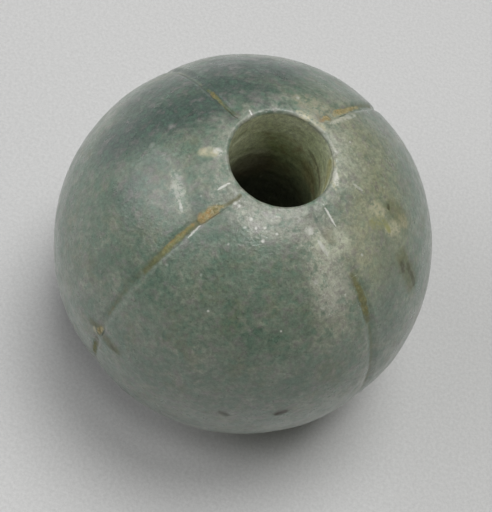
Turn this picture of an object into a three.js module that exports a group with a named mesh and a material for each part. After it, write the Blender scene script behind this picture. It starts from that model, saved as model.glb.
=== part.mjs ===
// A carved stone melon bead: four lobes of unequal width between four cut grooves, two small ground
// end faces, a bore drilled in from both ends, and the earthy residue that has stayed in the grooves.
// Units are millimetres, +Z runs along the bore, and the bead stands on its lower face at z = 0.
import * as THREE from 'three';

// Overall sizes of the bead
const BEAD_WIDTH = 30;
const BEAD_HEIGHT = 28.56;

// The bore: open at both ends, a little narrower at its middle, with shallow rings cut by the drill
const BORE_MOUTH_DIAMETER = 7.5;
const BORE_WAIST_DIAMETER = 6.9;
const MOUTH_ROUNDING = 0.25;
const DRILL_RING_DEPTHS = [2.1, 5.2, 8.6];
const DRILL_RING_CUT = 0.1;
const DRILL_RING_HALF_WIDTH = 0.35;

// The flat ring ground round each mouth of the bore
const FACE_WIDTH = 0.6;

// The grooves: a rounded valley between soft shoulders, which opens into a shallow sharp-edged scoop
// close to each mouth, where the cutting wheel was lifted
const SHOULDER_DROP = 0.1;
const SHOULDER_SPREAD = 2.2;
const SCOOP_DEPTH = 0.1;
const SCOOP_REACH = 4.6;
const GROOVE_RUN_OUT = 1.2;
const RUN_OUT_SHARE = 0.6;

// The grooves anticlockwise from +X, with their azimuths in degrees at the widest part of the bead.
// Each one drifts sideways near the bore: by swing degrees at peak degrees from the bore axis, dying
// away over spread degrees. swell is how far the middle of the next lobe stands out from the round
// form, or falls short of it.
const GROOVES = {
  back_right: {
    azimuth: 65,
    halfWidth: 0.56,
    depth: 0.2,
    scoopHalfWidth: 0.95,
    swell: 0.05,
    drift: { swing: 7, peak: 16, spread: 12, power: 1 },
  },
  back_left: {
    azimuth: 142.6,
    halfWidth: 0.52,
    depth: 0.22,
    scoopHalfWidth: 0.9,
    swell: 0.08,
    drift: { swing: 17, peak: 14.5, spread: 24, power: 1 },
  },
  front_left: {
    azimuth: 240.7,
    halfWidth: 0.52,
    depth: 0.15,
    scoopHalfWidth: 1.35,
    swell: 0.04,
    drift: { swing: 9.3, peak: 15.8, spread: 7, power: 1 },
  },
  front_right: {
    azimuth: 329.4,
    halfWidth: 0.58,
    depth: 0.22,
    scoopHalfWidth: 1.25,
    swell: -0.18,
    drift: { swing: -6, peak: 22, spread: 13, power: 2 },
  },
};

// The underside follows the same grooves more quietly
const UNDERSIDE_DRIFT_SHARE = 0.5;

// Residue in the grooves: where each patch starts and ends, as shares of the way down the side from
// the upper face's edge, its thickness in the middle, and its half width and sideways shift as shares
// of the groove's half width
const SEAT_CLEARANCE = 0.06;
const RIM_THICKNESS = 0.05;
const RESIDUE = [
  {
    name: 'residue_front_left_patch',
    groove: 'front_left',
    alongShares: [0.018, 0.091],
    thickness: 0.14,
    widthShare: 0.8,
    shiftShare: 0,
    colour: 0x9a8552,
  },
  {
    name: 'residue_front_left_streak',
    groove: 'front_left',
    alongShares: [0.098, 0.212],
    thickness: 0.1,
    widthShare: 0.45,
    shiftShare: 0,
    colour: 0x8b8056,
  },
  {
    name: 'residue_front_left_chip',
    groove: 'front_left',
    alongShares: [0.406, 0.448],
    thickness: 0.14,
    widthShare: 0.8,
    shiftShare: 0,
    colour: 0xa8944f,
  },
  {
    name: 'residue_front_left_end',
    groove: 'front_left',
    alongShares: [0.462, 0.549],
    thickness: 0.12,
    widthShare: 0.7,
    shiftShare: 0,
    colour: 0x5b5c38,
  },
  {
    name: 'residue_back_left_band',
    groove: 'back_left',
    alongShares: [0.012, 0.14],
    thickness: 0.12,
    widthShare: 0.6,
    shiftShare: -0.2,
    colour: 0x7d7152,
  },
  {
    name: 'residue_back_right_inner',
    groove: 'back_right',
    alongShares: [0.018, 0.043],
    thickness: 0.14,
    widthShare: 0.75,
    shiftShare: 0,
    colour: 0x96814b,
  },
  {
    name: 'residue_back_right_outer',
    groove: 'back_right',
    alongShares: [0.05, 0.154],
    thickness: 0.14,
    widthShare: 0.7,
    shiftShare: 0.1,
    colour: 0x96814b,
  },
  {
    name: 'residue_front_right_fill',
    groove: 'front_right',
    alongShares: [0.147, 0.25],
    thickness: 0.16,
    widthShare: 0.75,
    shiftShare: -0.1,
    colour: 0x746845,
  },
];

// Colours and finish of the two materials
const STONE_COLOUR = 0x6b7668;
const STONE_ROUGHNESS = 0.35;
const RESIDUE_ROUGHNESS = 0.85;

// How finely the surfaces are divided. Groove columns stand at these shares of the half width, with
// one more at each edge of the scoop.
const GROOVE_COLUMN_SHARES = [-1, -0.66, -0.33, 0, 0.33, 0.66, 1];
const LOBE_STEPS = 8;
const SIDE_ROWS = 36;
const ROUNDING_STEPS = 3;
const RESIDUE_STEPS = 10;
const RESIDUE_COLUMN_SHARES = [-1, -0.5, 0, 0.5, 1];
const RESIDUE_END_SHARE = 0.06;

const beadRadius = BEAD_WIDTH / 2;
const halfHeight = BEAD_HEIGHT / 2;
const mouthRadius = BORE_MOUTH_DIAMETER / 2;
const waistRadius = BORE_WAIST_DIAMETER / 2;
const roundedRadius = mouthRadius + MOUTH_ROUNDING;
const faceRadius = roundedRadius + FACE_WIDTH;

// The side is an ellipse of revolution that passes through the face's edge, so that the width, the
// height and the face can each be changed alone. sideAngle runs down it from the +Z axis.
const faceAngle = Math.asin(faceRadius / beadRadius);
const sideHeight = halfHeight / Math.cos(faceAngle);
const grooves = Object.values(GROOVES);

function smoothStep(share) {
  const t = THREE.MathUtils.clamp(share, 0, 1);
  return t * t * (3 - 2 * t);
}

// The angle at a share of the way down the side, from the upper face's edge to the lower one's
function sideAngleAt(alongShare) {
  return THREE.MathUtils.lerp(faceAngle, Math.PI - faceAngle, alongShare);
}

// The azimuth of a groove's middle line, at an angle down the side
function grooveAzimuth(groove, sideAngle) {
  const { swing, peak, spread, power } = groove.drift;
  const degrees = THREE.MathUtils.radToDeg(sideAngle);
  const fromMouth = Math.min(degrees, 180 - degrees);
  const fade = Math.exp(-(Math.abs((fromMouth - peak) / spread) ** power));
  const share = THREE.MathUtils.lerp(1, UNDERSIDE_DRIFT_SHARE, smoothStep(degrees / 180));
  return THREE.MathUtils.degToRad(groove.azimuth + share * swing * fade);
}

// The way along the side to the nearer end face
function fromFace(sideAngle) {
  return sideHeight * Math.min(sideAngle - faceAngle, Math.PI - faceAngle - sideAngle);
}

// Full depth along the side, running out over GROOVE_RUN_OUT towards each end face
function runOut(sideAngle) {
  return THREE.MathUtils.lerp(RUN_OUT_SHARE, 1, smoothStep(fromFace(sideAngle) / GROOVE_RUN_OUT));
}

function valley(share) {
  return Math.abs(share) < 1 ? (1 - share * share) ** 2 : 0;
}

function scoop(share) {
  return Math.abs(share) < 1 ? 1 - Math.abs(share) ** 3 : 0;
}

// Depth of a groove below the round form, at a sideways distance from its middle line
function grooveDepth(groove, sideAngle, distance) {
  const cut = groove.depth * valley(distance / groove.halfWidth);
  const shoulder = SHOULDER_DROP * Math.exp(-((distance / SHOULDER_SPREAD) ** 2));
  const scoopFade = 1 - smoothStep(fromFace(sideAngle) / SCOOP_REACH);
  const scooped = SCOOP_DEPTH * scoop(distance / groove.scoopHalfWidth) * scoopFade;
  return (cut + shoulder + scooped) * runOut(sideAngle);
}

// A point on the side, lifted outward along the form's normal
function sidePoint(sideAngle, azimuth, lift) {
  const normalRadius = sideHeight * Math.sin(sideAngle);
  const normalHeight = beadRadius * Math.cos(sideAngle);
  const length = Math.hypot(normalRadius, normalHeight);
  const radius = beadRadius * Math.sin(sideAngle) + (lift * normalRadius) / length;
  const height = sideHeight * Math.cos(sideAngle) + (lift * normalHeight) / length;
  return new THREE.Vector3(radius * Math.cos(azimuth), radius * Math.sin(azimuth), height);
}

// A ring of columns round the bead at one height: each has its azimuth, the groove that is nearest,
// the distance from that groove's middle line, and the swell of the lobe there
function columnsAt(sideAngle) {
  const radius = beadRadius * Math.sin(sideAngle);
  const columns = [];
  grooves.forEach((groove, i) => {
    const next = grooves[(i + 1) % grooves.length];
    const turn = i + 1 < grooves.length ? 0 : 2 * Math.PI;
    const middle = grooveAzimuth(groove, sideAngle);
    const nextMiddle = grooveAzimuth(next, sideAngle) + turn;
    const cutDistances = GROOVE_COLUMN_SHARES.map((share) => share * groove.halfWidth);
    for (const distance of [-groove.scoopHalfWidth, ...cutDistances, groove.scoopHalfWidth]) {
      columns.push({ groove, distance, azimuth: middle + distance / radius, swell: 0 });
    }
    const start = middle + groove.scoopHalfWidth / radius;
    const end = nextMiddle - next.scoopHalfWidth / radius;
    for (let step = 1; step < LOBE_STEPS; step += 1) {
      const lobeShare = step / LOBE_STEPS;
      const azimuth = THREE.MathUtils.lerp(start, end, lobeShare);
      const fromStart = (azimuth - middle) * radius;
      const fromEnd = (nextMiddle - azimuth) * radius;
      const nearer = fromStart < fromEnd ? groove : next;
      const distance = Math.min(fromStart, fromEnd);
      const swell = groove.swell * Math.sin(Math.PI * lobeShare);
      columns.push({ groove: nearer, distance, azimuth, swell });
    }
  });
  return columns;
}

// How far a column stands off the round form: the lobe's swell, less the groove
function columnLift(column, sideAngle) {
  const along = Math.sin((Math.PI * (sideAngle - faceAngle)) / (Math.PI - 2 * faceAngle));
  return column.swell * along - grooveDepth(column.groove, sideAngle, column.distance);
}

function sideRing(sideAngle) {
  return columnsAt(sideAngle).map((column) => {
    const lift = columnLift(column, sideAngle);
    return sidePoint(sideAngle, column.azimuth, lift);
  });
}

function polarPoint(radius, azimuth, height) {
  return new THREE.Vector3(radius * Math.cos(azimuth), radius * Math.sin(azimuth), height);
}

// The edge of an end face, with a small nick where each groove runs out over it
function faceEdgeRing(sideAngle, height) {
  return columnsAt(sideAngle).map((column) => {
    const nick = RUN_OUT_SHARE * FACE_WIDTH * valley(column.distance / column.groove.halfWidth);
    return polarPoint(faceRadius - nick, column.azimuth, height);
  });
}

// A plain ring in the bore, on the same columns as the face above or below it
function boreRing(azimuths, radius, height) {
  return azimuths.map((azimuth) => polarPoint(radius, azimuth, height));
}

// The bore's wall radius at a share of the way from the waist to the mouth
function boreRadius(shareFromWaist) {
  return THREE.MathUtils.lerp(waistRadius, mouthRadius, shareFromWaist ** 2);
}

// Depths below a face, and how deep the wall is cut there, from the mouth down to the waist
const borePoints = DRILL_RING_DEPTHS.flatMap((depth) => [
  [depth - DRILL_RING_HALF_WIDTH, 0],
  [depth, DRILL_RING_CUT],
  [depth + DRILL_RING_HALF_WIDTH, 0],
]);

function roundingRings(azimuths, up) {
  const rings = [];
  for (let step = 0; step <= ROUNDING_STEPS; step += 1) {
    const angle = ((Math.PI / 2) * step) / ROUNDING_STEPS;
    const radius = roundedRadius - MOUTH_ROUNDING * Math.sin(angle);
    const drop = MOUTH_ROUNDING * (1 - Math.cos(angle));
    rings.push(boreRing(azimuths, radius, up * (halfHeight - drop)));
  }
  return rings;
}

function wallRings(azimuths, up) {
  return borePoints.map(([depth, cut]) => {
    const height = halfHeight - depth;
    return boreRing(azimuths, boreRadius(height / halfHeight) + cut, up * height);
  });
}

function meanAzimuths(upper, lower) {
  return upper.map((azimuth, i) => (azimuth + lower[i]) / 2);
}

// Joins closed rings of points into one skin, and the last ring back to the first
function closedSkin(rings) {
  const count = rings[0].length;
  const positions = rings.flat().flatMap((point) => [point.x, point.y, point.z + halfHeight]);
  const faces = [];
  rings.forEach((ring, r) => {
    const below = ((r + 1) % rings.length) * count;
    const here = r * count;
    for (let c = 0; c < count; c += 1) {
      const next = (c + 1) % count;
      faces.push(here + c, below + c, below + next);
      faces.push(here + c, below + next, here + next);
    }
  });
  return bufferGeometry(positions, faces);
}

function bufferGeometry(positions, faces) {
  const geometry = new THREE.BufferGeometry();
  geometry.setAttribute('position', new THREE.Float32BufferAttribute(positions, 3));
  geometry.setIndex(faces);
  geometry.computeVertexNormals();
  return geometry;
}

// The stone: down the outside from the upper face's edge, then up through the bore
function beadGeometry() {
  const bottomAngle = Math.PI - faceAngle;
  const topAzimuths = columnsAt(faceAngle).map((column) => column.azimuth);
  const bottomAzimuths = columnsAt(bottomAngle).map((column) => column.azimuth);
  const rings = [faceEdgeRing(faceAngle, halfHeight)];
  for (let row = 1; row < SIDE_ROWS; row += 1) {
    rings.push(sideRing(sideAngleAt(row / SIDE_ROWS)));
  }
  rings.push(faceEdgeRing(bottomAngle, -halfHeight));
  rings.push(...roundingRings(bottomAzimuths, -1));
  rings.push(...wallRings(bottomAzimuths, -1));
  rings.push(boreRing(meanAzimuths(topAzimuths, bottomAzimuths), waistRadius, 0));
  rings.push(...wallRings(topAzimuths, 1).reverse());
  rings.push(...roundingRings(topAzimuths, 1).reverse());
  return closedSkin(rings);
}

// A crust in a groove: its underside follows the valley at the seat clearance, its top is crowned,
// and it narrows to blunt ends
function residueGeometry(spec) {
  const groove = GROOVES[spec.groove];
  const [startShare, endShare] = spec.alongShares;
  const under = [];
  const top = [];
  for (let step = 0; step <= RESIDUE_STEPS; step += 1) {
    const share = step / RESIDUE_STEPS;
    const sideAngle = sideAngleAt(THREE.MathUtils.lerp(startShare, endShare, share));
    const middle = grooveAzimuth(groove, sideAngle);
    const radius = beadRadius * Math.sin(sideAngle);
    const bluntShare = THREE.MathUtils.lerp(RESIDUE_END_SHARE, 1 - RESIDUE_END_SHARE, share);
    const taper = Math.sqrt(Math.sin(Math.PI * bluntShare));
    for (const columnShare of RESIDUE_COLUMN_SHARES) {
      const across = (columnShare * spec.widthShare * taper + spec.shiftShare) * groove.halfWidth;
      const seat = SEAT_CLEARANCE - grooveDepth(groove, sideAngle, across);
      const crown = (1 - columnShare ** 2) * taper;
      const thickness = THREE.MathUtils.lerp(RIM_THICKNESS, spec.thickness, crown);
      const azimuth = middle + across / radius;
      under.push(sidePoint(sideAngle, azimuth, seat));
      top.push(sidePoint(sideAngle, azimuth, seat + thickness));
    }
  }
  return slabGeometry(under, top, RESIDUE_COLUMN_SHARES.length);
}

// Closes two matching grids of points, an underside and a top, into one body
function slabGeometry(under, top, columns) {
  const rows = under.length / columns;
  const offset = under.length;
  const positions = [...under, ...top].flatMap((point) => [point.x, point.y, point.z + halfHeight]);
  const faces = [];
  const quad = (a, b, c, d) => faces.push(a, b, c, a, c, d);
  for (let row = 0; row + 1 < rows; row += 1) {
    for (let column = 0; column + 1 < columns; column += 1) {
      const a = row * columns + column;
      const b = a + columns;
      quad(offset + a, offset + b, offset + b + 1, offset + a + 1);
      quad(a, a + 1, b + 1, b);
    }
    const left = row * columns;
    const right = left + columns - 1;
    quad(left, left + columns, offset + left + columns, offset + left);
    quad(right, offset + right, offset + right + columns, right + columns);
  }
  for (let column = 0; column + 1 < columns; column += 1) {
    const start = column;
    const end = (rows - 1) * columns + column;
    quad(start, offset + start, offset + start + 1, start + 1);
    quad(end, end + 1, offset + end + 1, offset + end);
  }
  return bufferGeometry(positions, faces);
}

function namedMesh(name, geometry, colour, roughness) {
  const material = new THREE.MeshStandardMaterial({ color: colour, roughness, metalness: 0 });
  const mesh = new THREE.Mesh(geometry, material);
  mesh.name = name;
  return mesh;
}

const bead = new THREE.Group();
bead.add(namedMesh('bead_body', beadGeometry(), STONE_COLOUR, STONE_ROUGHNESS));
for (const spec of RESIDUE) {
  bead.add(namedMesh(spec.name, residueGeometry(spec), spec.colour, RESIDUE_ROUGHNESS));
}

export default bead;
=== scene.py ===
# A carved stone melon bead on pale paper: four lobes between four grooves, a bore drilled through,
# earthy residue in the grooves, and the worn, waxy, mottled finish of old green-grey stone.
import math
from collections import namedtuple

import bpy
import numpy as np
from mathutils import Matrix, Vector
from mathutils import noise
from mathutils.bvhtree import BVHTree


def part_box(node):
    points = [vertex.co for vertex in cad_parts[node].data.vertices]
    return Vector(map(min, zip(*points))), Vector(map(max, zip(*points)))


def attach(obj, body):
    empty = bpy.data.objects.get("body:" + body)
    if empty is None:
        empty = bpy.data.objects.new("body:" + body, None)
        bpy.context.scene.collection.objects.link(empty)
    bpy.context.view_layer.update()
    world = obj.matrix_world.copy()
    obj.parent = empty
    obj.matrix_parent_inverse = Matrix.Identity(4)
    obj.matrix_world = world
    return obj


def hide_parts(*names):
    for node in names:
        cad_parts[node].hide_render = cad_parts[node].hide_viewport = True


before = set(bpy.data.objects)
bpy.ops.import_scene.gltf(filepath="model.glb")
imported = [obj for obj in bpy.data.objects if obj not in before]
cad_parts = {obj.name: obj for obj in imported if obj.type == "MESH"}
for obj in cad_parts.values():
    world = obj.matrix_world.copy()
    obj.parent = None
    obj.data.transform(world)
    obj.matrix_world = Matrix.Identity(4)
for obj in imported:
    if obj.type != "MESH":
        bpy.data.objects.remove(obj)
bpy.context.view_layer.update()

# Lengths below are in millimetres unless a name says otherwise, and become metres in each mesh
MM = 0.001
BEAD_RADIUS = 15.0
LOW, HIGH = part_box("bead_body")
HALF_HEIGHT = (HIGH[2] - LOW[2]) / 2 / MM

MOUTH_RADIUS = 3.75
WAIST_RADIUS = 3.45
MOUTH_ROUNDING = 0.25
FACE_WIDTH = 0.6
DRILL_RINGS = [2.1, 5.2, 8.6]
DRILL_RING_CUT = 0.05
DRILL_RING_HALF_WIDTH = 0.35

SHOULDER_DROP = 0.1
SHOULDER_SPREAD = 2.2
SCOOP_DEPTH = 0.08
SCOOP_REACH = 4.6
GROOVE_RUN_OUT = 1.2
RUN_OUT_SHARE = 0.6
UNDERSIDE_DRIFT_SHARE = 0.5

ROUNDED_RADIUS = MOUTH_RADIUS + MOUTH_ROUNDING
FACE_RADIUS = ROUNDED_RADIUS + FACE_WIDTH
FACE_ANGLE = math.asin(FACE_RADIUS / BEAD_RADIUS)
SIDE_HEIGHT = HALF_HEIGHT / math.cos(FACE_ANGLE)


# A cut groove: its azimuth in degrees at the widest part, its section, the share of its depth that
# is left near the mouths, the swell of the lobe that follows it anticlockwise, and its sideways
# drift near the bore
Groove = namedtuple(
    "Groove", "azimuth half_width depth start_share scoop_half_width swell swing peak spread power"
)
GROOVES = {
    "back_right": Groove(65, 0.56, 0.2, 1.0, 0.95, 0.05, 7, 16, 12, 1),
    "back_left": Groove(142.6, 0.52, 0.2, 0.8, 0.9, 0.08, 17, 14.5, 24, 1),
    "front_left": Groove(240.7, 0.55, 0.095, 1.0, 1.35, 0.04, 9.3, 15.8, 7, 1),
    "front_right": Groove(329.4, 0.66, 0.13, 0.2, 1.25, -0.18, -6, 22, 13, 2),
}
# How far down the side a groove takes to reach its full depth, in degrees from the bore axis
FULL_DEPTH_BETWEEN = (24, 45)

# Stains by groove and kind: first and last degrees from the upper bore axis, half width and
# sideways shift in millimetres, and strength
STAINS = {
    "front_left": {
        "olive": [
            (14, 24, 0.34, 0.1, 0.8),
            (27, 53, 0.55, -0.02, 0.8),
            (50, 60, 0.4, -0.15, 0.35),
            (57, 73, 0.4, -0.15, 0.55),
            (76, 83, 0.42, -0.1, 0.5),
            (84, 100, 0.5, 0.1, 0.6),
        ],
        "ochre": [
            (22, 31, 0.75, -0.08, 0.9),
            (29.5, 44, 0.3, -0.1, 0.75),
            (66, 73, 0.2, -0.1, 0.5),
        ],
        "dark": [(15, 23, 0.2, 0.12, 0.6), (46, 78, 0.12, -0.1, 0.35)],
    },
    "back_left": {
        "olive": [(15, 27, 0.3, -0.15, 0.5)],
        "ochre": [(26, 31.5, 0.3, 0.1, 0.7), (31, 50, 0.2, 0.28, 0.3)],
        "dark": [(15, 25, 0.14, 0.08, 0.8), (22, 62, 0.22, 0.2, 0.5)],
    },
    "back_right": {
        "olive": [(30, 54, 0.4, 0.15, 0.6)],
        "ochre": [(16.5, 23.5, 0.42, 0.0, 0.65), (22.5, 31, 0.6, 0.05, 0.6)],
        "dark": [(17, 24, 0.15, 0.25, 0.5)],
    },
    "front_right": {
        "olive": [(36, 57, 0.6, -0.05, 0.7), (54, 96, 0.34, 0.0, 0.55)],
        "ochre": [(23, 28, 0.3, -0.1, 0.3), (45, 53, 0.3, -0.2, 0.5)],
        "dark": [(38, 52, 0.25, -0.1, 0.4)],
    },
}
STAIN_FADE = 2.5
STAIN_SOFTNESS = 0.6

# The photograph's frame, in its own pixels, and where the bead lies in it
PHOTO_WIDTH = 492
PHOTO_HEIGHT = 512
BEAD_CENTRE_PIXEL = (244.3, 244.0)
BEAD_RADIUS_PIXELS = 190.0
CAMERA_DISTANCE_RADII = 7.0
# The angle between the bore axis and the line to the camera, and the way the axis leans in the
# picture, in degrees clockwise from the right
AXIS_TILT = 27.41
AXIS_BEARING = 293.59
SENSOR_WIDTH = 36.0


def smooth_step(share):
    t = np.clip(share, 0.0, 1.0)
    return t * t * (3.0 - 2.0 * t)


def lerp(a, b, share):
    return a + (b - a) * share


def placed(name, data):
    made = bpy.data.objects.new(name, data)
    bpy.context.collection.objects.link(made)
    return made


# Camera and the way from a pixel to the bead


def camera_model():
    """The focal length in pixels, the bead centre in camera axes (right, down, forward) in radii,
    and the rows of the object's axes in those camera axes."""
    focal = BEAD_RADIUS_PIXELS * math.sqrt(CAMERA_DISTANCE_RADII**2 - 1)
    across = (BEAD_CENTRE_PIXEL[0] - PHOTO_WIDTH / 2) / focal
    down = (BEAD_CENTRE_PIXEL[1] - PHOTO_HEIGHT / 2) / focal
    centre = np.array([across, down, 1.0])
    centre *= CAMERA_DISTANCE_RADII / np.linalg.norm(centre)
    towards_camera = -centre / np.linalg.norm(centre)
    bearing = math.radians(AXIS_BEARING)
    lean = np.array([math.cos(bearing), math.sin(bearing), 0.0])
    lean -= towards_camera * (lean @ towards_camera)
    lean /= np.linalg.norm(lean)
    tilt = math.radians(AXIS_TILT)
    z_axis = math.cos(tilt) * towards_camera + math.sin(tilt) * lean
    y_axis = -(towards_camera - (towards_camera @ z_axis) * z_axis)
    y_axis /= np.linalg.norm(y_axis)
    x_axis = np.cross(y_axis, z_axis)
    return focal, centre, np.stack([x_axis, y_axis, z_axis])


FOCAL_PIXELS, CENTRE_IN_CAMERA, AXES_IN_CAMERA = camera_model()
BEAD_CENTRE = np.array([0.0, 0.0, HALF_HEIGHT])
CAMERA_PLACE = BEAD_CENTRE - AXES_IN_CAMERA @ CENTRE_IN_CAMERA * BEAD_RADIUS


def pixel_ray(pixel):
    ray = np.array([
        (pixel[0] - PHOTO_WIDTH / 2) / FOCAL_PIXELS,
        (pixel[1] - PHOTO_HEIGHT / 2) / FOCAL_PIXELS,
        1.0,
    ])
    ray = AXES_IN_CAMERA @ ray
    return ray / np.linalg.norm(ray)


def on_bead(pixel):
    """The point of the round form that a pixel of the photograph shows, in millimetres."""
    ray = pixel_ray(pixel)
    to_centre = BEAD_CENTRE - CAMERA_PLACE
    along = ray @ to_centre
    reach = along**2 - to_centre @ to_centre + BEAD_RADIUS**2
    point = CAMERA_PLACE + ray * (along - math.sqrt(max(reach, 0.0)))
    out = (point - BEAD_CENTRE) / np.linalg.norm(point - BEAD_CENTRE)
    return BEAD_CENTRE + out * BEAD_RADIUS


def make_camera():
    data = bpy.data.cameras.new("camera")
    data.sensor_width = SENSOR_WIDTH
    data.lens = FOCAL_PIXELS * SENSOR_WIDTH / PHOTO_HEIGHT
    data.clip_start = MM
    camera = placed("camera", data)
    right, down, forward = AXES_IN_CAMERA.T
    turn = Matrix([right, -down, -forward]).transposed()
    camera.matrix_world = Matrix.Translation(Vector(CAMERA_PLACE * MM)) @ turn.to_4x4()
    bpy.context.scene.camera = camera


# The bead's form


def groove_azimuth(cut, side_angle):
    degrees = np.degrees(side_angle)
    from_mouth = np.minimum(degrees, 180 - degrees)
    fade = np.exp(-(np.abs((from_mouth - cut.peak) / cut.spread) ** cut.power))
    share = lerp(1.0, UNDERSIDE_DRIFT_SHARE, smooth_step(degrees / 180))
    return np.radians(cut.azimuth + share * cut.swing * fade)


def from_face(side_angle):
    return SIDE_HEIGHT * np.minimum(side_angle - FACE_ANGLE, np.pi - FACE_ANGLE - side_angle)


def run_out(side_angle):
    return lerp(RUN_OUT_SHARE, 1.0, smooth_step(from_face(side_angle) / GROOVE_RUN_OUT))


def valley(share):
    return np.where(np.abs(share) < 1, (1 - share**2) ** 2, 0.0)


def scoop(share):
    return np.where(np.abs(share) < 1, 1 - share**2, 0.0)


def groove_depth(cut, side_angle, distance):
    degrees = np.degrees(np.minimum(side_angle, np.pi - side_angle))
    first, last = FULL_DEPTH_BETWEEN
    begun = lerp(cut.start_share, 1.0, smooth_step((degrees - first) / (last - first)))
    carved = begun * cut.depth * valley(distance / cut.half_width)
    shoulder = SHOULDER_DROP * np.exp(-((distance / SHOULDER_SPREAD) ** 2))
    scoop_fade = 1 - smooth_step(from_face(side_angle) / SCOOP_REACH)
    scooped = SCOOP_DEPTH * scoop(distance / cut.scoop_half_width) * scoop_fade
    return (carved + shoulder + scooped) * run_out(side_angle)


def side_point(side_angle, azimuth, lift):
    """A point on the side, in millimetres above the lower face, lifted along the form's normal."""
    normal_radius = SIDE_HEIGHT * np.sin(side_angle)
    normal_height = BEAD_RADIUS * np.cos(side_angle)
    length = np.hypot(normal_radius, normal_height)
    radius = BEAD_RADIUS * np.sin(side_angle) + lift * normal_radius / length
    height = SIDE_HEIGHT * np.cos(side_angle) + lift * normal_height / length
    return np.stack([radius * np.cos(azimuth), radius * np.sin(azimuth), height + HALF_HEIGHT], -1)


# How finely the bead is divided: columns across each groove and lobe, rows down the side, and rings
# on the faces, round the mouths and down the bore
CUT_STEPS = 18
SCOOP_STEPS = 6
LOBE_STEPS = 64
SIDE_ROWS = 250
FACE_RINGS = 6
ROUNDING_RINGS = 8
BORE_RINGS = 100

# How far from the end faces the stone is frosted by wear, and how much it has eased the crease
# round each face
NEAR_MOUTH_WIDTH = 1.7
CREASE_WEAR = 0.05


def column_azimuths(side_angle):
    """One row of column azimuths at each side angle, close together across every groove."""
    radius = BEAD_RADIUS * np.sin(side_angle)
    cuts = list(GROOVES.values())
    parts = []
    for i, cut in enumerate(cuts):
        following = cuts[(i + 1) % len(cuts)]
        turn = 0 if i + 1 < len(cuts) else 2 * np.pi
        middle = groove_azimuth(cut, side_angle)
        inner = np.linspace(-cut.half_width, cut.half_width, CUT_STEPS + 1)
        flank = np.linspace(cut.half_width, cut.scoop_half_width, SCOOP_STEPS + 1)[1:]
        offsets = np.concatenate([-flank[::-1], inner, flank])
        parts.append(middle[:, None] + offsets[None, :] / radius[:, None])
        start = middle + cut.scoop_half_width / radius
        end = groove_azimuth(following, side_angle) + turn - following.scoop_half_width / radius
        shares = np.arange(1, LOBE_STEPS) / LOBE_STEPS
        parts.append(lerp(start[:, None], end[:, None], shares[None, :]))
    return np.concatenate(parts, axis=1)


def ring_points(radius, azimuth, height):
    level = np.full_like(azimuth, height)
    return np.stack([radius * np.cos(azimuth), radius * np.sin(azimuth), level], -1)


def wrapped(angle):
    return (angle + np.pi) % (2 * np.pi) - np.pi


def groove_distances(side_angle, azimuth):
    """The signed way from each groove's middle line, a grid for each groove."""
    radius = BEAD_RADIUS * np.sin(side_angle)[:, None]
    return {
        name: wrapped(azimuth - groove_azimuth(cut, side_angle)[:, None]) * radius
        for name, cut in GROOVES.items()
    }


def lobe_swell(side_angle, azimuth):
    """How far each lobe stands out from the round form, or falls short of it, in the middle."""
    along = np.sin(np.pi * (side_angle - FACE_ANGLE) / (np.pi - 2 * FACE_ANGLE))[:, None]
    cuts = list(GROOVES.values())
    swell = np.zeros_like(azimuth)
    for i, cut in enumerate(cuts):
        start = groove_azimuth(cut, side_angle)[:, None]
        end = groove_azimuth(cuts[(i + 1) % len(cuts)], side_angle)[:, None]
        share = ((azimuth - start) % (2 * np.pi)) / ((end - start) % (2 * np.pi))
        swell += np.where(share < 1, cut.swell * np.sin(np.pi * np.minimum(share, 1)), 0.0)
    return swell * along


def stain_fields(side_angle, distances):
    """How strong each kind of stain is on the side, from 0 to 1."""
    degrees = np.degrees(side_angle)[:, None]
    fields = {kind: np.zeros_like(distances["front_left"]) for kind in ("dark", "ochre", "olive")}
    for name, kinds in STAINS.items():
        for kind, stains in kinds.items():
            for first, last, half_width, shift, strength in stains:
                along = smooth_step((degrees - first) / STAIN_FADE)
                along = along * smooth_step((last - degrees) / STAIN_FADE)
                across = valley((distances[name] - shift) / half_width)
                fields[kind] = np.maximum(fields[kind], strength * along * across)
    return fields


def side_grid():
    """The outside, from the upper face's edge to the lower one's: its points, their azimuths, and
    fields that say how stained each point is and how near it lies to a mouth."""
    side_angle = np.linspace(FACE_ANGLE, np.pi - FACE_ANGLE, SIDE_ROWS + 1)
    azimuth = column_azimuths(side_angle)
    distances = groove_distances(side_angle, azimuth)
    lift = lobe_swell(side_angle, azimuth)
    cut_share = np.zeros_like(azimuth)
    for name, distance in distances.items():
        lift -= groove_depth(GROOVES[name], side_angle[:, None], distance)
        cut_share = np.maximum(cut_share, valley(distance / GROOVES[name].half_width))
    points = side_point(side_angle[:, None], azimuth, lift)
    nick = RUN_OUT_SHARE * FACE_WIDTH
    for row, height in ((0, 2 * HALF_HEIGHT), (-1, 0.0)):
        points[row] = ring_points(FACE_RADIUS - nick * cut_share[row], azimuth[row], height)
    fields = stain_fields(side_angle, distances)
    from_mouth = from_face(side_angle)[:, None] + np.zeros_like(azimuth)
    fields["near_mouth"] = np.exp(-((from_mouth / NEAR_MOUTH_WIDTH) ** 2))
    return points, azimuth, fields


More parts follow.
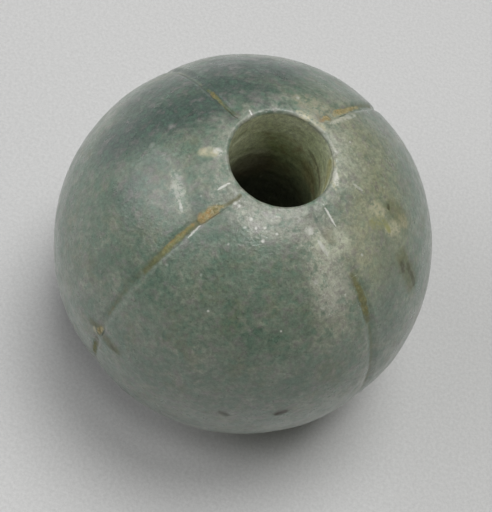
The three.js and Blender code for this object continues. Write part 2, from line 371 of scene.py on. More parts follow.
def bore_profile():
    """The radius and depth below the face of each ring, from the mouth's rounding to the waist."""
    turns = np.linspace(0, np.pi / 2, ROUNDING_RINGS + 1)
    rounding = ROUNDED_RADIUS - MOUTH_ROUNDING * np.sin(turns)
    depths = np.linspace(MOUTH_ROUNDING, HALF_HEIGHT, BORE_RINGS // 2 + 1)[1:]
    radii = lerp(WAIST_RADIUS, MOUTH_RADIUS, ((HALF_HEIGHT - depths) / HALF_HEIGHT) ** 2)
    for ring in DRILL_RINGS:
        radii += DRILL_RING_CUT * valley((depths - ring) / DRILL_RING_HALF_WIDTH)
    return np.append(rounding, radii), np.append(MOUTH_ROUNDING * (1 - np.cos(turns)), depths)


def bead_grid():
    """Closed rings of points: down the outside, over the lower face, up through the bore and over
    the upper face. Fields say where each point lies: near a mouth, on a face, on a mouth's
    rounding, or how many millimetres down the bore."""
    side, azimuth, fields = side_grid()
    radii, depths = bore_profile()
    rings = []
    places = []

    def face(edge, azimuths, height, shares):
        for share in shares:
            rings.append(lerp(edge, ring_points(ROUNDED_RADIUS, azimuths, height), share))
            places.append({"near_mouth": 1.0, "face": 1.0})

    def bore(azimuths, steps, mouth_height, up):
        for radius, depth in steps:
            rings.append(ring_points(radius, azimuths, mouth_height - up * depth))
            rounding = float(depth <= MOUTH_ROUNDING)
            places.append({"near_mouth": 1.0, "rim": rounding, "bore_depth": depth})

    shares = np.arange(1, FACE_RINGS) / FACE_RINGS
    steps = list(zip(radii, depths))
    face(side[-1], azimuth[-1], 0.0, shares)
    bore(azimuth[-1], steps, 0.0, -1)
    bore(azimuth[0], steps[-2::-1], 2 * HALF_HEIGHT, 1)
    face(side[0], azimuth[0], 2 * HALF_HEIGHT, shares[::-1])
    for field in ("face", "rim", "bore_depth"):
        fields[field] = np.zeros_like(azimuth)
    columns = azimuth.shape[1]
    for field, values in fields.items():
        added = np.array([place.get(field, 0.0) for place in places])
        fields[field] = np.concatenate([values, np.repeat(added[:, None], columns, 1)])
    return np.concatenate([side, np.array(rings)]), fields


def crease_wear(points):
    """How far wear has lowered the stone at the crease between each end face and the side."""
    radius = np.minimum(np.hypot(points[..., 0], points[..., 1]) / BEAD_RADIUS, 1.0)
    gap = HALF_HEIGHT - SIDE_HEIGHT * np.sqrt(1 - radius**2)
    return (gap + np.sqrt(gap**2 + 4 * CREASE_WEAR**2)) / 2 - np.maximum(gap, 0.0)


def grid_normals(points):
    """Outward normals of rings of points that close both ways round."""
    down = np.roll(points, -1, 0) - np.roll(points, 1, 0)
    across = np.roll(points, -1, 1) - np.roll(points, 1, 1)
    normal = np.cross(down, across)
    return normal / np.maximum(np.linalg.norm(normal, axis=-1, keepdims=True), 1e-9)


# Dents in the stone: pixel in the photograph, radius and depth
DENTS = {
    "wedge_at_left_groove": ((97, 329), 0.55, 0.12),
    "smear_right_of_wedge": ((110, 346), 0.5, 0.05),
    "nick_of_upper_rim": ((306, 117), 0.4, 0.12),
    "nick_by_upper_left_groove": ((249, 115), 0.3, 0.08),
    "nick_of_right_rim": ((334, 171), 0.35, 0.1),
    "black_pit": ((388, 208), 0.22, 0.1),
    "cream_scar": ((207, 152), 0.5, 0.04),
    "brown_crack": ((408, 268), 0.5, 0.06),
    "slot_by_front_edge": ((281, 413), 0.3, 0.08),
    "slot_by_left_edge": ((224, 414), 0.3, 0.05),
}
# Small chips scattered round both mouths, and fine pits all over
SEED = 11
RIM_CHIPS = 34
RIM_CHIP_RADIUS = (0.1, 0.38)
RIM_CHIP_DEPTH = (0.02, 0.09)
PITS = 420
PIT_RADIUS = (0.09, 0.24)
PIT_DEPTH = (0.008, 0.035)
MOSTLY_SMALL = 3
# The uneven hand-worked form, as heights and noises: long soft waves, mostly inwards, and a finer
# ripple outside, and in the bore a ripple squeezed along its axis. All have one increment and
# lacunarity.
UNEVENNESS = 0.04
UNEVENNESS_BIAS = 0.5
UNEVENNESS_NOISE = {"scale": 0.16, "octaves": 3}
RIPPLE = 0.012
RIPPLE_NOISE = {"scale": 0.9, "octaves": 3, "offset": 7.3}
BORE_RIPPLE = 0.03
BORE_RIPPLE_NOISE = {"scale": 0.8, "octaves": 4, "offset": 3.1}
BORE_RIPPLE_SQUEEZE = (1.0, 1.0, 2.5)
HIGHEST_LIFT = 0.02
FRACTAL = (0.8, 2.0)


def dents():
    """Centre, radius and depth of each dent, chip and pit."""
    found = [(on_bead(pixel), radius, depth) for pixel, radius, depth in DENTS.values()]
    random = np.random.default_rng(SEED)
    for _ in range(RIM_CHIPS):
        azimuth = random.uniform(0, 2 * np.pi)
        height = 0.0 if random.random() < 0.5 else 2 * HALF_HEIGHT
        place = ring_points(MOUTH_RADIUS + MOUTH_ROUNDING / 2, np.array([azimuth]), height)[0]
        found.append((place, random.uniform(*RIM_CHIP_RADIUS), random.uniform(*RIM_CHIP_DEPTH)))
    for _ in range(PITS):
        way = random.normal(size=3)
        place = BEAD_CENTRE + way / np.linalg.norm(way) * BEAD_RADIUS
        share = random.random() ** MOSTLY_SMALL
        found.append((place, lerp(*PIT_RADIUS, share), lerp(*PIT_DEPTH, share)))
    return found


def noise_field(points, scale, octaves, offset=0.0):
    """Smooth noise of about plus or minus 1, with a grain of about 1 / scale millimetres."""
    shift = Vector((offset, offset, offset))
    flat = points.reshape(-1, 3) * scale
    values = [noise.fractal(Vector(p) + shift, *FRACTAL, octaves) for p in flat]
    return np.array(values).reshape(points.shape[:-1])


def unevenness(points):
    """How far hand work has left the outside off the true form at each point."""
    waves = UNEVENNESS * (noise_field(points, **UNEVENNESS_NOISE) - UNEVENNESS_BIAS)
    ripple = RIPPLE * noise_field(points, **RIPPLE_NOISE)
    return np.minimum(waves + ripple, HIGHEST_LIFT)


def mesh_object(name, points, faces, fields):
    mesh = bpy.data.meshes.new(name)
    mesh.from_pydata((points.reshape(-1, 3) * MM).tolist(), [], faces)
    for field, values in fields.items():
        mesh.attributes.new(field, "FLOAT", "POINT").data.foreach_set("value", values.ravel())
    mesh.polygons.foreach_set("use_smooth", [True] * len(mesh.polygons))
    mesh.update()
    return placed(name, mesh)


def quads(*corners):
    return np.stack(corners, -1).reshape(-1, 4).tolist()


def closed_faces(rings, columns):
    """Faces over rings that close both ways round, facing out."""
    here = np.arange(rings * columns).reshape(rings, columns)
    below = np.roll(here, -1, 0)
    return quads(here, below, np.roll(below, -1, 1), np.roll(here, -1, 1))


def add_clouds(points, fields):
    """Adds to the fields how strong each kind of cloud, painted highlight and shade among them, and
    each earthy blot is, from 0 to 1.
    """
    for kind, clouds in {**CLOUDS, **BLOTS}.items():
        field = fields.get(kind, np.zeros(points.shape[:-1]))
        for start, end, half_width, strength in clouds.values():
            first, last = on_bead(start), on_bead(end)
            along = last - first
            share = np.clip((points - first) @ along / (along @ along), 0.0, 1.0)
            away = np.linalg.norm(points - first - share[..., None] * along, axis=-1) / half_width
            fade = smooth_step((away - CLOUD_CORE) / CLOUD_FADE)
            field = np.maximum(field, strength * (1 - fade))
        fields[kind] = field


def carve_dents(points, lift):
    """Lowers the lift in every dent, chip and pit."""
    for centre, radius, depth in dents():
        away = np.linalg.norm(points - centre, axis=-1) / radius
        near = away < 1
        lift[near] -= depth * valley(away[near])


def make_bead():
    """The bead, and its surface as a tree that a ray can be cast at, in millimetres."""
    points, fields = bead_grid()
    add_clouds(points, fields)
    normals = grid_normals(points)
    in_bore = smooth_step(fields["bore_depth"] / MOUTH_ROUNDING)
    bore_ripple = BORE_RIPPLE * noise_field(points * BORE_RIPPLE_SQUEEZE, **BORE_RIPPLE_NOISE)
    lift = unevenness(points) * (1 - in_bore) + bore_ripple * in_bore
    carve_dents(points, lift)
    points = points + normals * lift[..., None]
    points[..., 2] = np.clip(points[..., 2], 0.0, 2 * HALF_HEIGHT)
    points[..., 2] -= crease_wear(points) * (points[..., 2] / HALF_HEIGHT - 1)
    faces = closed_faces(*points.shape[:2])
    surface = BVHTree.FromPolygons(points.reshape(-1, 3).tolist(), faces)
    return mesh_object("bead", points, faces, fields), surface


def seen_at(surface, pixel):
    """The point of the bead's surface that a pixel of the photograph shows."""
    found = surface.ray_cast(Vector(CAMERA_PLACE), Vector(pixel_ray(pixel)))[0]
    return found or surface.find_nearest(Vector(on_bead(pixel)))[0]


# Materials


def linear(red, green, blue):
    """A colour given in screen values from 0 to 255, as Blender's shaders take it."""
    channels = np.array([red, green, blue]) / 255
    low = channels / 12.92
    high = ((channels + 0.055) / 1.055) ** 2.4
    return (*np.where(channels <= 0.04045, low, high), 1.0)


class Paint:
    """Builds one material's nodes, in millimetres of object space."""

    def __init__(self, name):
        self.material = bpy.data.materials.new(name)
        self.material.use_nodes = True
        self.tree = self.material.node_tree
        self.shader = self.tree.nodes["Principled BSDF"]
        self.place = self.scaled(self.node("ShaderNodeTexCoord").outputs["Object"], 1 / MM)

    def feed(self, node, inputs):
        """Links or sets inputs of a node, by their names or numbers."""
        for key, value in inputs.items():
            if isinstance(value, bpy.types.NodeSocket):
                self.tree.links.new(value, node.inputs[key])
            else:
                node.inputs[key].default_value = value

    def node(self, kind, inputs=None, **settings):
        made = self.tree.nodes.new(kind)
        for key, value in settings.items():
            setattr(made, key, value)
        self.feed(made, inputs or {})
        return made

    def math(self, operation, a, b):
        return self.node("ShaderNodeMath", {0: a, 1: b}, operation=operation).outputs[0]

    def times(self, a, b):
        return self.math("MULTIPLY", a, b)

    def vector_math(self, operation, inputs):
        return self.node("ShaderNodeVectorMath", inputs, operation=operation).outputs

    def scaled(self, colour, factor):
        return self.vector_math("SCALE", {0: colour, "Scale": factor})[0]

    def distance(self, place, point):
        return self.vector_math("DISTANCE", {0: place, 1: point})["Value"]

    def noise_outputs(self, scale, detail, roughness=0.55, distortion=0.0):
        inputs = {"Vector": self.place, "Scale": scale, "Detail": detail}
        inputs |= {"Roughness": roughness, "Distortion": distortion}
        return self.node("ShaderNodeTexNoise", inputs).outputs

    def noise(self, *settings):
        return self.noise_outputs(*settings)["Fac"]

    def swing(self, *settings):
        """Noise about zero."""
        return self.math("SUBTRACT", self.noise(*settings), 0.5)

    def shifted(self, amount, scale):
        """Object space, wandering by up to amount millimetres, for ragged edges."""
        drift = self.noise_outputs(scale, 3.0)["Color"]
        drift = self.vector_math("SUBTRACT", {0: drift, 1: (0.5, 0.5, 0.5)})[0]
        inputs = {0: drift, 1: (amount, amount, amount), 2: self.place}
        return self.vector_math("MULTIPLY_ADD", inputs)[0]

    def step(self, value, low, high, bottom=0.0, top=1.0):
        """A smooth step from bottom to top as value goes from low to high."""
        inputs = {"Value": value, "From Min": low, "From Max": high}
        inputs |= {"To Min": bottom, "To Max": top}
        return self.node("ShaderNodeMapRange", inputs, interpolation_type="SMOOTHSTEP").outputs[0]

    def mix(self, share, a, b):
        return self.node("ShaderNodeMix", {0: share, 6: a, 7: b}, data_type="RGBA").outputs[2]

    def veil(self, colour, tint, source, low, high, most=1.0):
        """Tint over colour, from none of it to most as source goes from low to high."""
        return self.mix(self.step(source, low, high, 0.0, most), colour, tint)

    def attribute(self, name):
        return self.node("ShaderNodeAttribute", attribute_name=name).outputs["Fac"]

    def stroke(self, place, start, end, half_width, edge, strength):
        """Strength inside a long oval round the line from start to end, fading in between two
        shares of its half width."""
        reach = self.distance(place, start)
        if start == end:
            reach = self.times(reach, 2.0)
        else:
            reach = self.math("ADD", reach, self.distance(place, end))
        length = (end - start).length
        low, high = (math.hypot(length, 2 * half_width * share) for share in edge)
        return self.step(reach, low, high, 0.0, strength)

    def bump(self, height, strength, distance, normal=None):
        inputs = {"Height": height, "Strength": strength, "Distance": distance * MM}
        if normal is not None:
            inputs["Normal"] = normal
        return self.node("ShaderNodeBump", inputs).outputs["Normal"]


STONE_DEEP_AND_SHADE = linear(73, 89, 81)
STONE_DARK = linear(94, 114, 97)
STONE_MIDDLE = linear(115, 128, 112)
STONE_PALE = linear(147, 149, 131)
STONE_TAN = linear(124, 122, 101)
STONE_OLIVE = linear(107, 114, 88)
STONE_GREEN = linear(87, 116, 98)
STONE_MAUVE = linear(124, 117, 116)
STONE_YELLOW = linear(149, 150, 119)
# Frosted and hazy stone; both also serve as painted highlight, and the frost as a painted
# reflection
FROST_AND_HIGHLIGHT = linear(152, 154, 141)
HAZE_AND_HIGHLIGHT = linear(175, 179, 158)
WHITISH = linear(206, 207, 198)
CREAM = linear(188, 183, 152)
OLIVE = linear(98, 98, 58)
DARK_OLIVE = linear(54, 52, 28)
OCHRE = linear(162, 128, 74)
YELLOW_OCHRE = linear(146, 138, 82)
YELLOW_GREEN = linear(140, 142, 84)
BROWN = linear(86, 72, 52)
BORE_OLIVE = linear(166, 178, 134)
BORE_CHALK_AND_LIGHT = linear(232, 236, 208)
BORE_TAN = linear(150, 140, 104)
BORE_DARK = linear(56, 60, 44)
BORE_BROWN = linear(138, 124, 84)
BORE_YELLOW = linear(172, 168, 96)
BLACK_PIT = linear(30, 32, 26)

CLOUD_TINTS = {
    "pale": STONE_PALE, "yellow": STONE_YELLOW, "frosted": FROST_AND_HIGHLIGHT,
    "deep": STONE_DEEP_AND_SHADE, "tan": STONE_TAN, "haze": HAZE_AND_HIGHLIGHT,
}
# Clouds in the stone, and pale specks that below the bore are painted sparkle of the highlight;
# some clouds are painted highlight and painted shade, as noted: start and end pixels in the
# photograph, half width in millimetres and strength
CLOUDS = {
    "pale": {
        "right_of_bore": ((345, 128), (352, 200), 3.6, 0.6),
        "left_of_bore": ((226, 130), (220, 178), 1.4, 0.5),
        "below_left_groove": ((196, 262), (186, 290), 1.8, 0.55),
        # Painted sheen round the left highlight
        "left_glint": ((160, 190), (168, 212), 1.6, 0.5),
        "over_right_groove": ((336, 240), (364, 246), 2.3, 0.85),
        "left_lobe": ((110, 232), (160, 250), 2.4, 0.45),
        "left_edge": ((94, 220), (100, 250), 2.4, 0.35),
        "low_front": ((296, 324), (330, 340), 2.4, 0.3),
        "by_right_groove": ((318, 244), (336, 322), 2.4, 0.8),
    },
    "yellow": {"right_lobe": ((366, 150), (382, 245), 5.0, 0.75)},
    "frosted": {
        # Frosted stone below the bore, made paler still as a painted highlight
        "highlight_below_bore": ((240, 208), (300, 224), 1.7, 0.8),
        "by_right_groove": ((318, 236), (332, 300), 1.7, 1.0),
    },
    "deep": {
        "upper_left": ((116, 140), (205, 104), 3.4, 1.0),
        # Darker along the upper left outline: painted shade
        "upper_left_edge": ((138, 102), (190, 76), 3.2, 0.9),
        "left_lobe": ((126, 194), (146, 176), 2.3, 0.65),
        "back_lobe": ((200, 80), (262, 93), 2.2, 1.0),
        # Darker along the upper outline: painted shade
        "back_edge": ((225, 64), (275, 68), 4.0, 1.0),
        "above_left_patch": ((196, 205), (204, 197), 0.9, 0.6),
        "middle_front": ((230, 262), (300, 300), 2.6, 0.25),
        "low_front": ((300, 300), (270, 320), 1.8, 0.2),
        "right_edge": ((384, 240), (390, 330), 2.0, 0.6),
    },
    "tan": {"left_lobe": ((150, 190), (175, 175), 1.8, 0.5)},
    "haze": {
        "by_right_groove": ((322, 236), (328, 290), 1.5, 0.7),
        "over_right_groove": ((324, 244), (338, 242), 1.5, 1.0),
        "right_of_bore": ((340, 138), (350, 166), 2.3, 0.6),
        "upper_right": ((330, 96), (345, 104), 1.2, 0.4),
        "above_bore": ((296, 78), (306, 82), 1.0, 0.3),
        # Painted highlight below the bore
        "highlight_below_bore": ((246, 212), (276, 230), 1.3, 0.45),
        "right_lobe": ((366, 146), (384, 160), 1.6, 0.4),
        # Painted streak of the left highlight
        "left_glint": ((176, 174), (183, 208), 0.8, 0.6),
    },
    # White specks: pale grains of the stone, and below the bore painted sparkle of the highlight
    "pale_specks_and_sparkle": {
        "highlight_below_bore": ((238, 206), (270, 226), 0.8, 1.0),
        "by_right_groove": ((312, 236), (342, 310), 2.0, 0.8),
        "right_lobe": ((355, 140), (375, 200), 3.6, 0.3),
        "above_bore": ((300, 98), (340, 112), 1.2, 0.4),
    },
}
# Earthy blots outside the grooves, given in the same way
BLOTS = {
    "olive": {
        "below_wedge": ((104, 339), (115, 350), 0.7, 0.62),
        "above_wedge": ((91, 322), (98, 328), 0.55, 0.62),
        "round_crack": ((403, 258), (413, 282), 1.2, 0.62),
        "round_black_pit": ((392, 206), (404, 220), 1.2, 0.58),
    },
    "dark": {
        "below_wedge": ((111, 347), (114, 351), 0.4, 0.6),
        "crack_start": ((403, 264), (405, 270), 0.45, 0.72),
        "crack_middle": ((409, 264), (411, 272), 0.35, 0.66),
        "crack_end": ((412, 272), (416, 284), 0.35, 0.72),
        "front_slot": ((276, 414), (286, 411), 0.3, 0.75),
        "left_slot": ((220, 412), (228, 415), 0.25, 0.6),
    },
}
# A cloud is full within the first share of its half width and fades over the second; drift tears it
CLOUD_CORE = 0.2
CLOUD_FADE = 1.2
CLOUD_DRIFT = 2.2

# Marks on the stone, with painted glints, a painted reflection and painted shade among them: start
# and end pixels in the photograph, half width in millimetres, colour, strength and grain. Clean
# marks keep their outline, hazy ones are mottled, ragged ones break up.
MARKS = {
    "pale_edge_of_right_groove": ((343, 272), (352, 302), 0.3, FROST_AND_HIGHLIGHT, 0.6, "ragged"),
    "cream_scar": ((199, 152), (217, 153), 0.45, CREAM, 0.85, "hazy"),
    "cream_scar_tip": ((215, 149), (221, 154), 0.3, WHITISH, 0.7, "ragged"),
    "green_below_scar": ((200, 158), (212, 159), 0.3, STONE_GREEN, 0.6, "hazy"),
    "cream_patch_right": ((373, 206), (382, 213), 0.7, CREAM, 0.7, "ragged"),
    "yellow_green_right": ((370, 224), (386, 222), 0.5, YELLOW_GREEN, 0.65, "ragged"),
    "yellow_spot": ((386, 231), (400, 226), 0.6, CREAM, 0.75, "ragged"),
    "olive_line_by_spot": ((386, 224), (390, 232), 0.25, YELLOW_GREEN, 0.9, "hazy"),
    "cream_spot_right": ((400, 217), (406, 225), 0.55, CREAM, 0.8, "ragged"),
    "black_pit": ((388, 204), (389, 210), 0.15, BLACK_PIT, 0.9, "clean"),
    "dark_slot": ((276, 414), (286, 411), 0.45, DARK_OLIVE, 1.0, "clean"),
    "small_slot": ((220, 412), (228, 415), 0.42, DARK_OLIVE, 0.7, "clean"),
    # Pale chip of the wedge, and a painted glint on it
    "wedge_glint": ((95, 328), (99, 334), 0.4, CREAM, 0.8, "clean"),
    # White lines and a spot at the grooves' edges: worn pale edges, and painted glints of the light
    "left_groove_wear_and_glint": ((217, 190), (230, 183), 0.09, WHITISH, 1.0, "clean"),
    "lower_left_groove_wear_and_glint": ((188, 238), (202, 223), 0.09, WHITISH, 0.85, "clean"),
    "far_left_groove_wear_and_glint": ((168, 252), (178, 244), 0.1, STONE_PALE, 0.6, "clean"),
    "right_groove_wear_and_glint": ((322, 203), (336, 227), 0.075, WHITISH, 1.0, "clean"),
    "wear_and_glint_before_groove": ((318, 240), (328, 256), 0.16, WHITISH, 0.8, "hazy"),
    "worn_spot_and_glint_before_groove": ((307, 230), (312, 233), 0.34, WHITISH, 0.8, "ragged"),
    "right_groove_shade": ((313, 213), (326, 240), 0.17, STONE_DEEP_AND_SHADE, 0.5, "hazy"),
    "right_groove_tan": ((326, 228), (332, 242), 0.5, STONE_TAN, 0.7, "hazy"),
    # A worn white fleck by the upper left groove, and a painted glint
    "upper_left_fleck_and_glint": ((249, 110), (252, 115), 0.07, WHITISH, 1.0, "clean"),
    # A worn pale line by the upper right groove, and a painted glint
    "upper_right_wear_and_glint": ((330, 124), (356, 115), 0.25, WHITISH, 0.6, "ragged"),
    "pale_line_right": ((353, 184), (363, 191), 0.11, WHITISH, 0.4, "clean"),
    # The back groove's wall in shade: painted shade
    "back_groove_shaded_wall": ((170, 67), (200, 79), 0.35, STONE_DEEP_AND_SHADE, 0.8, "clean"),
    "back_groove_tan_edge": ((178, 73), (206, 90), 0.25, STONE_YELLOW, 0.6, "hazy"),
    # Painted reflection along the front lobe's edge
    "front_lobe_edge_reflection": ((364, 350), (356, 392), 0.4, FROST_AND_HIGHLIGHT, 0.45, "hazy"),
    # Painted highlight on the left lobe over a faint scuff, and its brightest spot
    "left_glint_trail": ((175, 174), (181, 204), 0.5, WHITISH, 0.4, "ragged"),
    "left_glint": ((180, 203), (182, 212), 0.13, WHITISH, 0.8, "hazy"),
    "cream_rim_right": ((332, 158), (336, 190), 0.34, CREAM, 0.7, "ragged"),
    "flecks_of_right_rim": ((334, 168), (337, 186), 0.26, WHITISH, 0.8, "ragged"),
    "cream_rim_upper_right": ((296, 110), (326, 130), 0.34, CREAM, 0.65, "ragged"),
    "chip_of_upper_rim": ((300, 115), (311, 121), 0.28, CREAM, 0.9, "ragged"),
    "white_rim_left": ((229, 150), (232, 168), 0.24, WHITISH, 0.45, "ragged"),
    "specks_by_upper_rim": ((296, 98), (345, 122), 1.2, CREAM, 0.4, "ragged"),
}

# Pale flecks: the glint ones below the bore are painted glints of the highlight, and several pale
# pits elsewhere are partly painted glints too: pixel in the photograph, half width in millimetres
# and strength
PALE_FLECKS_AND_GLINTS = {
    "below_left_groove": ((167, 265), 0.12, 0.3),
    "upper_front": ((201, 275), 0.13, 0.35),
    "left_front": ((208, 311), 0.1, 1.0),
    "low_front": ((281, 331), 0.09, 0.9),
    "right_of_bore": ((350, 142), 0.09, 1.0),
    "glint_corner": ((239, 206), 0.13, 0.9),
    "glint_upper_left": ((235, 203), 0.17, 0.9),
    "glint_lower_left": ((245, 227), 0.12, 0.7),
    "glint_left": ((251, 219), 0.15, 0.9),
    "glint_middle": ((256, 228), 0.12, 0.9),
    "glint_right": ((265, 228), 0.13, 0.9),
    "glint_far_right": ((277, 234), 0.12, 0.9),
    "below_glint": ((263, 241), 0.16, 1.0),
    "below_left_patch": ((228, 244), 0.1, 0.45),
    "above_left_patch": ((201, 196), 0.1, 0.35),
    "upper_left": ((152, 145), 0.25, 0.2),
    "upper_left_edge": ((171, 126), 0.25, 0.2),
    "right_lobe": ((362, 255), 0.12, 0.6),
    "above_bore": ((298, 98), 0.18, 0.6),
    "by_right_groove": ((316, 282), 0.2, 0.4),
}

# Stains on the bore's wall, and painted light and shade on it: start and end pixels, half width,
# colour and strength
BORE_MARKS = {
    # Painted light on the left wall
    "light_painted_left": ((239, 142), (243, 168), 1.9, BORE_CHALK_AND_LIGHT, 0.8),
    "olive_right": ((312, 138), (324, 166), 1.5, BORE_OLIVE, 0.6),
    # Brown stain on the left wall, with painted shade at the edge of the light
    "brown_and_shade_left": ((236, 171), (260, 159), 2.0, BROWN, 0.75),
    # Painted light on the top wall
    "light_painted_top": ((250, 126), (288, 122), 1.3, BORE_CHALK_AND_LIGHT, 0.7),
    "brown_right": ((306, 166), (312, 186), 1.0, BORE_BROWN, 0.5),
    "yellow_right_rim": ((331, 160), (324, 190), 0.6, BORE_YELLOW, 0.6),
    "brown_lower_rim": ((324, 194), (296, 207), 0.35, BORE_BROWN, 0.8),
    # Painted shadow of a drill ring's ledge
    "ring_shadow_right": ((308, 150), (317, 166), 0.24, DARK_OLIVE, 0.45),
    "ring_shadow_right_lower": ((317, 166), (319, 191), 0.24, DARK_OLIVE, 0.45),
}
# The shares of its half width at which a mark ends and is full, and the half widths in millimetres
# from which a mark's edge wanders more, or in the bore wanders at all
MARK_EDGE = (1.3, 0.2)
BORE_MARK_EDGE = (1.4, 0.2)
COARSE_MARK = 0.5
WANDERING_BORE_MARK = 0.4

STONE_FINISH = {
    "Coat Roughness": 0.13,
    "IOR": 1.61,
    "Subsurface Weight": 0.15,
    "Subsurface Radius": (0.9, 1.0, 0.8),
    "Subsurface Scale": 0.8 * MM,
}
PAPER_FINISH = {"Roughness": 0.9, "Specular IOR Level": 0.2}

# The looks of residue: its light and dark earth, its crumbs, and how far crumbs and specks cover it
CRUST_LOOKS = {
    "ochre": (linear(152, 140, 98), linear(102, 98, 68), CREAM, 0.65, 0.75),
    "olive": (linear(130, 131, 88), linear(96, 98, 66), STONE_YELLOW, 0.35, 0.6),
}


def clouded(paint, colour):
    """The stone's colour with its clouds laid over it, painted highlight and shade among them,
    drifting apart at their edges.
    """
    drift = paint.times(paint.swing(1.3, 6.0, 0.75), CLOUD_DRIFT)
    for kind, tint in CLOUD_TINTS.items():
        cloud = paint.attribute(kind)
        share = paint.step(paint.math("ADD", cloud, drift), 0.1, 1.0)
        colour = paint.mix(paint.times(share, cloud), colour, tint)
    return colour


def marked(paint, surface, colour):
    """The stone's colour with each mark and fleck laid over it, painted glints, reflection and
    shade among them.
    """
    haze = paint.noise(2.2, 5.0, 0.7)
    broken = paint.noise(3.0, 5.0, 0.75)
    # White specks: pale grains, and below the bore painted sparkle of the highlight
    pale_specks_and_sparkle = paint.step(paint.noise(4.0, 5.0, 0.75, 0.5), 0.59, 0.67)
    pale_specks_and_sparkle = paint.times(pale_specks_and_sparkle, paint.attribute("pale_specks_and_sparkle"))
    colour = paint.mix(pale_specks_and_sparkle, colour, WHITISH)
    fine, coarse = paint.shifted(0.16, 4.5), paint.shifted(0.6, 2.2)
    grains = {
        "hazy": paint.step(haze, 0.32, 0.62, 0.4, 1.0),
        "ragged": paint.step(broken, 0.38, 0.58, 0.05, 1.0),
    }
    for start, end, half_width, tint, strength, grain in MARKS.values():
        first, last = seen_at(surface, start), seen_at(surface, end)
        wander = fine if half_width < COARSE_MARK else coarse
        share = paint.stroke(wander, first, last, half_width, MARK_EDGE, strength)
        if grain in grains:
            share = paint.times(share, grains[grain])
        colour = paint.mix(share, colour, tint)
    for pixel, half_width, strength in PALE_FLECKS_AND_GLINTS.values():
        place = seen_at(surface, pixel)
        share = paint.stroke(fine, place, place, half_width, MARK_EDGE, strength)
        colour = paint.mix(share, colour, WHITISH)
    return colour


def stained(paint, colour):
    """The grooves' earthy stains, ragged at their edges."""
    rag = paint.noise(2.4, 4.0, 0.65)
    rusty = paint.veil(YELLOW_OCHRE, OCHRE, rag, 0.42, 0.56)
    swing = paint.math("SUBTRACT", rag, 0.5)
    kinds = (("olive", OLIVE, 0.15), ("ochre", rusty, 0.2), ("dark", DARK_OLIVE, 0.2))
    for kind, tint, low in kinds:
        stain = paint.attribute(kind)
        share = paint.step(paint.math("ADD", stain, swing), low, low + STAIN_SOFTNESS)
        colour = paint.mix(paint.times(share, stain), colour, tint)
    return colour


def bore_colour(paint, surface, depth):
    """The bore's wall: pale and chalky near the mouth, partly painted light, darker further in as
    painted shade, with brown and dark stains.
    """
    streaks = paint.noise(0.9, 6.0, 0.7)
    colour = paint.veil(BORE_OLIVE, BORE_TAN, streaks, 0.42, 0.66, 0.8)
    colour = paint.veil(colour, BORE_BROWN, streaks, 0.62, 0.75, 0.4)
    colour = paint.veil(colour, BORE_DARK, streaks, 0.5, 0.36, 0.4)
    # Pale chalky wall near the mouth, made paler as painted light
    patchy = paint.step(streaks, 0.35, 0.6, 0.95, 0.5)
    chalk = paint.times(paint.step(depth, 5.0, 0.5), patchy)
    colour = paint.mix(chalk, colour, BORE_CHALK_AND_LIGHT)
    # Darker further down the bore: painted shade
    colour = paint.veil(colour, BORE_DARK, depth, 2.5, 10.0, 0.95)
    ragged = paint.shifted(0.7, 1.4)
    for start, end, half_width, tint, strength in BORE_MARKS.values():
        first, last = seen_at(surface, start), seen_at(surface, end)
        wander = ragged if half_width > WANDERING_BORE_MARK else paint.place
        share = paint.stroke(wander, first, last, half_width, BORE_MARK_EDGE, strength)
        colour = paint.mix(share, colour, tint)
    return colour


def stone_colour(paint):
    """The bare stone: broad clouds and a mottle of darker, paler, greener and greyer stone, under
    the listed clouds with their painted highlight and shade.
    """
    clouds = paint.noise(0.19, 4.0, 0.6, 0.6)
    mottle = paint.noise(0.8, 5.0, 0.65, 0.4)
    tint = paint.noise(1.5, 4.0, 0.65)
    colour = paint.veil(STONE_DARK, STONE_MIDDLE, clouds, 0.38, 0.6)
    warmth = paint.noise(0.45, 4.0, 0.65, 0.5)
    colour = paint.veil(colour, STONE_OLIVE, warmth, 0.5, 0.68, 0.55)
    colour = paint.veil(colour, STONE_PALE, mottle, 0.48, 0.72, 0.5)
    colour = paint.veil(colour, STONE_DARK, mottle, 0.49, 0.3, 0.55)
    colour = clouded(paint, colour)
    frost = paint.step(mottle, 0.35, 0.65, 0.05, 0.55)
    frost = paint.times(paint.attribute("near_mouth"), frost)
    colour = paint.mix(frost, colour, FROST_AND_HIGHLIGHT)
    colour = paint.veil(colour, STONE_MAUVE, tint, 0.52, 0.64, 0.45)
    most = paint.step(paint.attribute("yellow"), 0.0, 1.0, 0.55, 0.15)
    green = paint.times(paint.step(tint, 0.49, 0.37), most)
    return paint.mix(green, colour, STONE_GREEN)


def grain_brightness(paint):
    """How much paler or darker each grain of the stone is."""
    speckle = paint.step(paint.noise(3.2, 5.0, 0.75), 0.3, 0.7, 0.76, 1.26)
    dust = paint.step(paint.noise(9.0, 3.0, 0.7), 0.3, 0.7, 0.9, 1.1)
    return paint.times(speckle, dust)


def weathered_colour(paint, surface, depth):
    """The bead's colour: stained, marked stone outside, the bore's wall and the worn rims, with
    painted light and shade among the marks and in the bore.
    """
    mottle = grain_brightness(paint)
    colour = stained(paint, marked(paint, surface, paint.scaled(stone_colour(paint), mottle)))
    wall = paint.scaled(bore_colour(paint, surface, depth), mottle)
    colour = paint.veil(colour, wall, depth, 0.1, 0.4)
    breakup = paint.step(paint.noise(0.9, 5.0, 0.7), 0.45, 0.65, 0.0, 0.7)
    return paint.mix(paint.times(paint.attribute("rim"), breakup), colour, FROST_AND_HIGHLIGHT)


